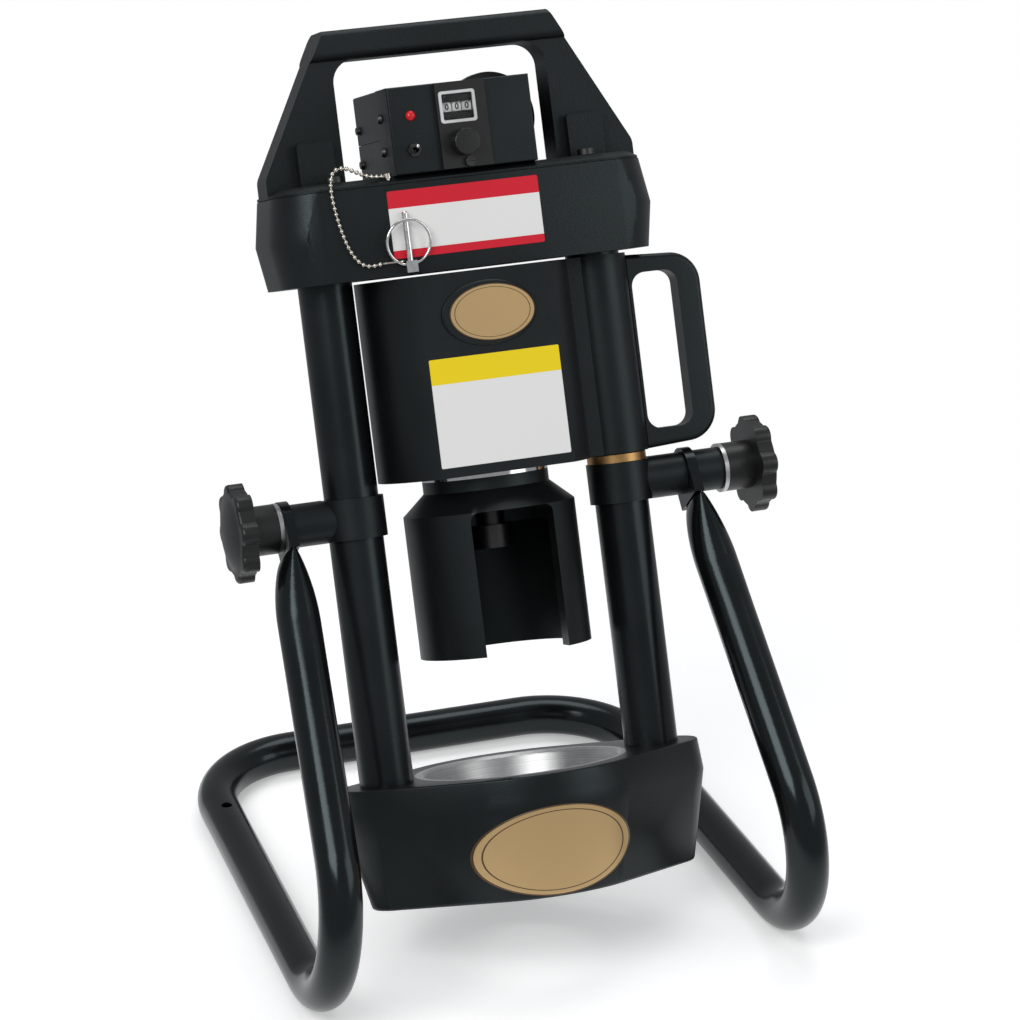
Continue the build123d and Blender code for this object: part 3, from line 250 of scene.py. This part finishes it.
def gold_plate(name):
    """Gold film with a thin brown line inside its edge."""
    made = Nodes(name)
    shader = made.shader(Metallic=0.55)
    place = made.add("ShaderNodeTexCoord")
    centre = made.add("ShaderNodeMapping")
    centre.inputs["Location"].default_value = (-0.5, 0, -0.5)
    made.link(place.outputs["Generated"], centre.inputs["Vector"])
    flat = made.add("ShaderNodeVectorMath", operation="MULTIPLY")
    flat.inputs[1].default_value = (2, 0, 2)
    made.link(centre.outputs[0], flat.inputs[0])
    length = made.add("ShaderNodeVectorMath", operation="LENGTH")
    made.link(flat.outputs[0], length.inputs[0])
    gold, line = (0.56, 0.38, 0.18), (0.10, 0.06, 0.03)
    stops = [(0.0, gold), (0.865, line), (0.885, gold), (0.965, line)]
    rings = made.ramp(length.outputs["Value"], stops, interpolation="CONSTANT")
    made.link(rings.outputs[0], shader.inputs["Base Color"])
    brushed = made.noise(240, detail=4, stretch=(1, 1, 12))
    gloss = made.spread(brushed.outputs["Fac"], 0.28, 0.48)
    made.link(gloss.outputs[0], shader.inputs["Roughness"])
    made.bump(shader, brushed.outputs["Fac"], 0.00002)
    return made.material


body_black = black_paint("body_black", 0.0045, 0.38, 900, 0.00010)
cover_black = black_paint("cover_black", 0.005, 0.46, 700, 0.00020)
column_black = black_paint("column_black", 0.005, 0.26, 500, 0.00003)
stand_black = black_paint("stand_black", 0.004, 0.18, 420, 0.00006)
pusher_black = black_paint("pusher_black", 0.004, 0.38, 900, 0.00008)
box_black = black_paint("box_black", 0.0055, 0.42, 1100, 0.00012)
screw_black = metal("screw_black", grey(0.07), 0.4)
knob_black = plastic("knob_black", grey(0.005, 0.1), 0.36, grain=700, depth=0.00008)
strip_black = plastic("strip_black", grey(0.006), 0.35)
rubber_black = plastic("rubber_black", grey(0.02), 0.7)
frame_white = plastic("frame_white", grey(0.62), 0.4)
digit_white = plastic("digit_white", grey(0.72), 0.5)
digit_black = plastic("digit_black", grey(0.01), 0.5)
board_green = plastic("board_green", (0.02, 0.14, 0.05), 0.4)
case_grey = plastic("case_grey", grey(0.05), 0.5)
zinc = metal("zinc", grey(0.55), 0.3, scale=500)
bright_chrome = metal("bright_chrome", grey(0.75), 0.14, scale=200)
hard_chrome = metal("hard_chrome", grey(0.65), 0.1, brushed=(1, 1, 0.1))
spring_grey = metal("spring_grey", grey(0.22), 0.35)
bead_nickel = metal("bead_nickel", (0.66, 0.62, 0.55), 0.2, scale=400)
bronze_metal = metal("bronze_metal", (0.52, 0.30, 0.12), 0.35, scale=600)
bowl_metal = turned_metal("bowl_metal", grey(0.52), 0.3)
gland_metal = turned_metal("gland_metal", grey(0.05), 0.35)
lamp_red = plastic("lamp_red", (0.55, 0.008, 0.012), 0.16)
window_glass = clear("window_glass", (0.96, 0.97, 0.96), roughness=0.02)
oval_gold = gold_plate("oval_gold")

finishes = {
    body_black: (
        "base_block head_block left_collar right_collar right_spacer cylinder_housing swing_handle"
    ),
    cover_black: "handle_cover",
    column_black: "left_column right_column",
    stand_black: "stand_tube",
    pusher_black: "pusher",
    box_black: "control_front control_lower control_upper",
    screw_black: (
        "cover_screws collar_screws control_screws lock_screw pusher_bolt switch_bushing"
    ),
    knob_black: "left_knob right_knob dial_knob sensor_cap",
    strip_black: "control_strip counter_mask",
    rubber_black: "rod_seal piston_seal",
    frame_white: "counter_frame",
    digit_white: "hundreds_wheel tens_wheel units_wheel",
    board_green: "circuit_board",
    case_grey: "battery",
    zinc: (
        "column_bolts column_nuts left_washer right_washer left_pivot_stud right_pivot_stud "
        "port_fitting counter_bracket"
    ),
    bright_chrome: "toggle_lever lock_pin pin_ring",
    bead_nickel: "chain_anchor bead_chain chain_link",
    hard_chrome: "ram_rod",
    spring_grey: "return_spring piston",
    bronze_metal: "bronze_bush",
    bowl_metal: "die_cone",
    gland_metal: "gland_nut",
    lamp_red: "status_lamp",
    window_glass: "counter_window",
}
for material, names in finishes.items():
    for name in names.split():
        mesh = nodes[name].data
        mesh.materials.clear()
        mesh.materials.append(material)

# Doubled points of the CAD mesh are joined, then its edges sharper than this stay crisp.
weld_distance, smooth_angle = 0.00001, math.radians(32)
for node in nodes.values():
    weld = node.modifiers.new("weld", "WELD")
    weld.merge_threshold = weld_distance
    creases = node.modifiers.new("creases", "EDGE_SPLIT")
    creases.split_angle = smooth_angle
    node.data.polygons.foreach_set("use_smooth", [True] * len(node.data.polygons))


# ---------------------------------------------------------------- pieces
def piece(name, mesh, material, body, place=TO_WORLD):
    """A new piece in the machine's own axes, which rides on a CAD body."""
    made = bpy.data.objects.new(name, mesh)
    bpy.context.scene.collection.objects.link(made)
    made.matrix_world = place
    mesh.materials.append(material)
    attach(made, body)
    return made


def bridge(bm, lower, upper):
    """Faces between two closed rings with as many points."""
    for index in range(len(lower)):
        after = (index + 1) % len(lower)
        bm.faces.new((lower[index], lower[after], upper[after], upper[index]))


def mesh_of(bm, name, smooth=True):
    """A mesh made from bm, which is freed."""
    mesh = bpy.data.meshes.new(name)
    bm.normal_update()
    bm.to_mesh(mesh)
    bm.free()
    for polygon in mesh.polygons:
        polygon.use_smooth = smooth
    return mesh


def rounded_outline(width, height, radius, steps=6):
    """Points of a rounded rectangle about the origin."""
    points = []
    for quarter, (sx, sz) in enumerate(((1, 1), (-1, 1), (-1, -1), (1, -1))):
        cx, cz = sx * (width / 2 - radius), sz * (height / 2 - radius)
        for step in range(steps + 1):
            angle = math.pi / 2 * (quarter + step / steps)
            points.append((cx + radius * math.cos(angle), cz + radius * math.sin(angle)))
    return points


def oval_outline(width, height, steps=72):
    """Points of an ellipse about the origin."""
    turns = [2 * math.pi * step / steps for step in range(steps)]
    return [(width / 2 * math.cos(turn), height / 2 * math.sin(turn)) for turn in turns]


rim_rise, rim_inset = 0.6, 0.4


def film(name, outline, centre, front, thickness, material, body):
    """A thin plate on a face that looks to the front: centre is (x, up), front the face's depth."""
    bm = bmesh.new()
    x, z = centre
    rims = ((0.0, 0.0), (thickness * rim_rise, 0.0), (thickness, thickness * rim_inset))
    rings = []
    for rise, inset in rims:
        ring = []
        for px, pz in outline:
            reach = math.hypot(px, pz)
            share = (reach - inset) / reach
            ring.append(bm.verts.new((x + px * share, front - rise, z + pz * share)))
        rings.append(ring)
    for lower, upper in zip(rings, rings[1:]):
        bridge(bm, lower, upper)
    bm.faces.new(rings[-1])
    bm.faces.new(list(reversed(rings[0])))
    bmesh.ops.recalc_face_normals(bm, faces=bm.faces)
    return piece(name, mesh_of(bm, name, smooth=False), material, body)


# Bare plates where the machine carries printed ones
film_thickness, badge_thickness, wrapped_thickness = 0.35 * MM, 0.5 * MM, 0.4 * MM
off_face = 0.02 * MM
plate_roughness = 0.4
head_low, head_high = machine_box("head_block")
red, white, yellow = (0.66, 0.012, 0.03), (0.82, 0.82, 0.80), (0.90, 0.68, 0.01)
red_foot, red_head, yellow_head = 0.12, 0.742, 0.765  # where a band starts, as a share of the plate
head_plate_width, head_plate_height, head_plate_corner = 109 * MM, 46.5 * MM, 1.5 * MM
head_plate_left, head_plate_drop = 5.5 * MM, 4.4 * MM
head_plate_place = (-head_plate_left, head_high.z - head_plate_drop - head_plate_height / 2)
film(
    "head_plate",
    rounded_outline(head_plate_width, head_plate_height, head_plate_corner),
    head_plate_place,
    head_low.y - off_face,
    film_thickness,
    banded("red_white", [(0, red), (red_foot, white), (red_head, red)], plate_roughness),
    "machine",
)
housing_low, housing_high = machine_box("cylinder_housing")
badge_rise = 2 * MM
flat_front = housing_low.y + badge_rise
housing_plate_width, housing_plate_height, housing_plate_corner = 94 * MM, 75 * MM, 1.0 * MM
housing_plate_lift = 7 * MM
film(
    "housing_plate",
    rounded_outline(housing_plate_width, housing_plate_height, housing_plate_corner),
    (0.0, housing_low.z + housing_plate_lift + housing_plate_height / 2),
    flat_front - off_face,
    film_thickness,
    banded("yellow_white", [(0, white), (yellow_head, yellow)], plate_roughness),
    "cylinder",
)
badge_width, badge_height = 62 * MM, 39 * MM
badge_right, badge_drop = 2 * MM, 30 * MM
badge_place = (badge_right, housing_high.z - badge_drop)
film(
    "housing_badge",
    oval_outline(badge_width, badge_height),
    badge_place,
    housing_low.y - off_face,
    badge_thickness,
    oval_gold,
    "cylinder",
)


def wrapped_oval(name, node, centre, width, height, rise, material, body):
    """An oval film that follows a CAD surface, laid on it from the front."""
    mesh = nodes[node].data
    tree = BVHTree.FromPolygons(
        [TO_MACHINE @ vertex.co for vertex in mesh.vertices],
        [list(polygon.vertices) for polygon in mesh.polygons],
    )
    rings, steps, ray_start = 24, 96, -1.0

    def lay(x, z, lift):
        hit = tree.ray_cast(Vector((x, ray_start, z)), Vector((0, 1, 0)))[0]
        return Vector((x, hit.y - lift, z))

    bm = bmesh.new()
    x, z = centre
    middle = bm.verts.new(lay(x, z, rise))
    loops = []
    for ring in range(1, rings + 1):
        share = ring / rings
        loops.append([
            bm.verts.new(lay(x + px * share, z + pz * share, rise))
            for px, pz in oval_outline(width, height, steps)
        ])
    loops.append([
        bm.verts.new(lay(x + px, z + pz, off_face))
        for px, pz in oval_outline(width + rise, height + rise, steps)
    ])
    for index in range(steps):
        after = (index + 1) % steps
        bm.faces.new((middle, loops[0][index], loops[0][after]))
        for inner, outer in zip(loops, loops[1:]):
            bm.faces.new((inner[index], outer[index], outer[after], inner[after]))
    bmesh.ops.recalc_face_normals(bm, faces=bm.faces)
    return piece(name, mesh_of(bm, name), material, body)


base_low = machine_box("base_block")[0]
base_badge_width, base_badge_height = 114 * MM, 63 * MM
base_badge_left, base_badge_lift = 5 * MM, 33 * MM
wrapped_oval(
    "base_badge",
    "base_block",
    (-base_badge_left, base_low.z + base_badge_lift),
    base_badge_width,
    base_badge_height,
    wrapped_thickness,
    oval_gold,
    "machine",
)

# ---------------------------------------------------------------- rounded necks of the legs
# Each leg of the stand is pressed flat at its eye. The neck below the eye swells in a
# smooth curve from the flat end to the round tube.
stand_fold_body = joints["stand_fold"]["child"]
eye_x, eye_half_thickness, eye_half_width = 148.5 * MM, 3.7 * MM, 18.1 * MM
tube_radius, neck_start, neck_length, blend_length = 15 * MM, 22 * MM, 50 * MM, 45 * MM
neck_proud, blend_sink, neck_fullness = 0.08 * MM, 0.14 * MM, 0.6
leg_run, leg_spread, leg_slope = 411.8 * MM, 28.5 * MM, math.radians(23.8)


def leg_neck(name, side):
    """A neck's skin from the flat eye to the round tube, on the left (-1) or right (1) leg."""
    along = Vector((
        side * leg_spread,
        -leg_run * math.sin(leg_slope),
        -leg_run * math.cos(leg_slope),
    )).normalized()
    across = Vector((1, 0, -along.x / along.z)).normalized()
    forward = along.cross(across).normalized()
    rings, steps = 48, 48
    turns = [2 * math.pi * step / steps for step in range(steps)]
    bm = bmesh.new()
    loops = []
    for ring in range(rings + 1):
        run = (neck_length + blend_length) * ring / rings
        share = min(run / neck_length, 1.0)
        past = max(run - neck_length, 0.0) / blend_length
        skin = tube_radius + neck_proud - blend_sink * past
        swell = math.sin(math.pi / 2 * share) ** neck_fullness
        thick = eye_half_thickness + (skin - eye_half_thickness) * swell
        wide = eye_half_width + (skin - eye_half_width) * share
        middle = Vector((side * eye_x, 0, 0)) + along * (neck_start + run)
        loops.append([
            bm.verts.new(middle + across * thick * math.cos(turn) + forward * wide * math.sin(turn))
            for turn in turns
        ])
    for lower, upper in zip(loops, loops[1:]):
        bridge(bm, lower, upper)
    bm.faces.new(loops[0])
    bm.faces.new(list(reversed(loops[-1])))
    bmesh.ops.recalc_face_normals(bm, faces=bm.faces)
    return piece(name, mesh_of(bm, name), stand_black, stand_fold_body)


leg_neck("left_leg_neck", -1)
leg_neck("right_leg_neck", 1)


# ---------------------------------------------------------------- digits on the counter's wheels
digits_on_wheel, digit_fill, digit_spread, digit_weight = 10, 0.95, 1.35, 0.03


def wheel_digits(node, body):
    """Ten plain digits round a wheel that turns about the machine's X axis."""
    low_corner, high_corner = machine_box(node)
    axle = (low_corner + high_corner) / 2
    radius = (high_corner.z - low_corner.z) / 2 + off_face
    pitch = 2 * math.pi / digits_on_wheel
    size = min(pitch * radius * digit_fill, (high_corner.x - low_corner.x) * digit_spread)
    bm = bmesh.new()
    for digit in range(digits_on_wheel):
        curve = bpy.data.curves.new(f"{node}_{digit}", "FONT")
        curve.body = str(digit)
        curve.size = size
        curve.offset = size * digit_weight
        curve.align_x, curve.align_y = "CENTER", "CENTER"
        shape = bpy.data.objects.new(f"{node}_{digit}", curve)
        flat = bpy.data.meshes.new_from_object(shape)
        made = []
        for vertex in flat.vertices:
            turn = pitch * digit + vertex.co.y / radius
            made.append(bm.verts.new((
                axle.x + vertex.co.x,
                axle.y - radius * math.cos(turn),
                axle.z + radius * math.sin(turn),
            )))
        for polygon in flat.polygons:
            bm.faces.new([made[index] for index in polygon.vertices])
        bpy.data.objects.remove(shape)
    bmesh.ops.triangulate(bm, faces=bm.faces)
    mesh = mesh_of(bm, f"{node}_digits", smooth=False)
    return piece(f"{node}_digits", mesh, digit_black, body)


for place in ("hundreds", "tens", "units"):
    wheel_digits(f"{place}_wheel", f"{place}_wheel_body")


# ---------------------------------------------------------------- bead chain
# The route in the machine's own axes, in metres, with its heights from the base's underside.
chain_points = [
    (-0.0588, -0.0437, 0.5049),
    (-0.068, -0.0464, 0.5047),
    (-0.078, -0.0488, 0.5088),
    (-0.0885, -0.0508, 0.5139),
    (-0.0973, -0.0515, 0.5116),
    (-0.0996, -0.0518, 0.5005),
    (-0.0987, -0.0518, 0.487),
    (-0.096, -0.0518, 0.472),
    (-0.0923, -0.0518, 0.4586),
    (-0.0866, -0.0519, 0.4482),
    (-0.0786, -0.0522, 0.4436),
    (-0.06995, -0.0528, 0.44548),
]
bead_diameter, bead_pitch, chain_wire = 0.0032, 0.0040, 0.0011
bead_columns, bead_rows, wire_sides = 16, 10, 8
chain_curve = bpy.data.curves.new("chain_route", "CURVE")
chain_curve.dimensions = "3D"
chain_curve.resolution_u = 24
chain_line = chain_curve.splines.new("NURBS")
chain_line.points.add(len(chain_points) - 1)
for point, (x, y, z) in zip(chain_line.points, chain_points):
    point.co = (*(TO_WORLD @ Vector((x, y, base_low.z + z))), 1)
chain_line.order_u = 3
chain_line.use_endpoint_u = True
chain_route = bpy.data.objects.new("chain_route", chain_curve)
route = [vertex.co.copy() for vertex in bpy.data.meshes.new_from_object(chain_route).vertices]
bpy.data.objects.remove(chain_route)
travel = [0.0]
for before, after in zip(route, route[1:]):
    travel.append(travel[-1] + (after - before).length)


def on_route(distance):
    """The point of the chain's route this far from its start."""
    for index in range(1, len(route)):
        if distance <= travel[index] or index == len(route) - 1:
            share = (distance - travel[index - 1]) / (travel[index] - travel[index - 1])
            return route[index - 1].lerp(route[index], min(max(share, 0.0), 1.0))


bead_count = round((travel[-1] - bead_diameter) / bead_pitch)
bead_places = [
    on_route(bead_diameter / 2 + (travel[-1] - bead_diameter) * step / bead_count)
    for step in range(bead_count + 1)
]
bm = bmesh.new()
for place in bead_places:
    bmesh.ops.create_uvsphere(
        bm,
        u_segments=bead_columns,
        v_segments=bead_rows,
        radius=bead_diameter / 2,
        matrix=Matrix.Translation(place),
    )
wire_stops = [route[0], *bead_places, route[-1]]
for before, after in zip(wire_stops, wire_stops[1:]):
    gap = after - before
    turn = gap.to_track_quat("Z", "Y").to_matrix().to_4x4()
    bmesh.ops.create_cone(
        bm,
        segments=wire_sides,
        radius1=chain_wire / 2,
        radius2=chain_wire / 2,
        depth=gap.length,
        matrix=Matrix.Translation((before + after) / 2) @ turn,
    )
chain_mesh = mesh_of(bm, "chain_beads")
chain = piece("chain_beads", chain_mesh, bead_nickel, "machine", Matrix())
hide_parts("bead_chain")

# ---------------------------------------------------------------- floor, light, camera
low, high = cad_box
centre = (low + high) / 2


def flat_light(name, strength, size, place, aim):
    """A soft rectangular light at place that looks at aim."""
    lamp = bpy.data.objects.new(name, bpy.data.lights.new(name, "AREA"))
    lamp.data.energy = strength
    lamp.data.shape = "RECTANGLE"
    lamp.data.size, lamp.data.size_y = size
    lamp.location = place
    lamp.rotation_mode = "QUATERNION"
    lamp.rotation_quaternion = (aim - Vector(place)).to_track_quat("-Z", "Y")
    bpy.context.scene.collection.objects.link(lamp)


flat_light("key_light", 32, (1.6, 1.2), (-1.5, -1.3, 2.1), centre)
flat_light("fill_light", 12, (1.4, 1.4), (1.7, -1.5, 1.3), centre)
flat_light("top_light", 14, (1.6, 1.0), (0.3, 0.8, 2.2), centre)

world = bpy.data.worlds.new("studio")
world.use_nodes = True
bpy.context.scene.world = world
world_nodes = world.node_tree
world_nodes.nodes.clear()
path = world_nodes.nodes.new("ShaderNodeLightPath")
studio = world_nodes.nodes.new("ShaderNodeBackground")
studio.inputs["Color"].default_value = (0.95, 0.97, 1.0, 1)
studio.inputs["Strength"].default_value = 0.40
backdrop = world_nodes.nodes.new("ShaderNodeBackground")
backdrop.inputs["Color"].default_value = (1, 1, 1, 1)
backdrop.inputs["Strength"].default_value = 1.0
choose = world_nodes.nodes.new("ShaderNodeMixShader")
sky = world_nodes.nodes.new("ShaderNodeOutputWorld")
world_nodes.links.new(path.outputs["Is Camera Ray"], choose.inputs[0])
world_nodes.links.new(studio.outputs[0], choose.inputs[1])
world_nodes.links.new(backdrop.outputs[0], choose.inputs[2])
world_nodes.links.new(choose.outputs[0], sky.inputs[0])

floor_mesh = bpy.data.meshes.new("floor")
floor_half = 6.0
corners = [(x * floor_half, y * floor_half, 0) for x, y in ((-1, -1), (1, -1), (1, 1), (-1, 1))]
floor_mesh.from_pydata(corners, [], [(0, 1, 2, 3)])
floor = bpy.data.objects.new("floor", floor_mesh)
floor.location.z = low.z
bpy.context.scene.collection.objects.link(floor)
floor_look = Nodes("floor_white")
floor_shader = floor_look.shader(Roughness=0.9, Emission_Strength=0.34)
floor_shader.inputs["Base Color"].default_value = (0.92, 0.92, 0.92, 1)
floor_shader.inputs["Emission Color"].default_value = (1, 1, 1, 1)
# The floor fades into the white backdrop away from the machine.
fade_start, fade_end = 0.28, 0.62
floor_place = floor_look.add("ShaderNodeTexCoord")
floor_reach = floor_look.add("ShaderNodeVectorMath", operation="LENGTH")
floor_look.link(floor_place.outputs["Object"], floor_reach.inputs[0])
fade = floor_look.add("ShaderNodeMapRange", interpolation_type="SMOOTHSTEP")
fade.inputs["From Min"].default_value = fade_start
fade.inputs["From Max"].default_value = fade_end
floor_look.link(floor_reach.outputs["Value"], fade.inputs["Value"])
nothing = floor_look.add("ShaderNodeBsdfTransparent")
floor_mix = floor_look.add("ShaderNodeMixShader")
floor_look.link(fade.outputs[0], floor_mix.inputs[0])
floor_look.link(floor_shader.outputs[0], floor_mix.inputs[1])
floor_look.link(nothing.outputs[0], floor_mix.inputs[2])
floor_look.link(floor_mix.outputs[0], floor_look.output.inputs[0])
floor_mesh.materials.append(floor_look.material)

# The camera stands in front, a little to the left and above.
camera_azimuth, camera_elevation, camera_distance = -18.69, 24.21, 2.9618
camera_lens, sensor_width = 148.72, 36
aim_offset = Vector((0.0051, -0.0097, -0.0166))
camera = bpy.data.objects.new("camera", bpy.data.cameras.new("camera"))
camera.data.sensor_width = sensor_width
camera.data.lens = camera_lens
azimuth, elevation = math.radians(camera_azimuth), math.radians(camera_elevation)
view_back = Vector(
    (
        math.sin(azimuth) * math.cos(elevation),
        -math.cos(azimuth) * math.cos(elevation),
        math.sin(elevation),
    )
)
aim = centre + aim_offset
camera.location = aim + view_back * camera_distance
camera.rotation_mode = "QUATERNION"
camera.rotation_quaternion = (-view_back).to_track_quat("-Z", "Y")
bpy.context.scene.collection.objects.link(camera)
bpy.context.scene.camera = camera
bpy.context.scene.view_settings.view_transform = "Standard"
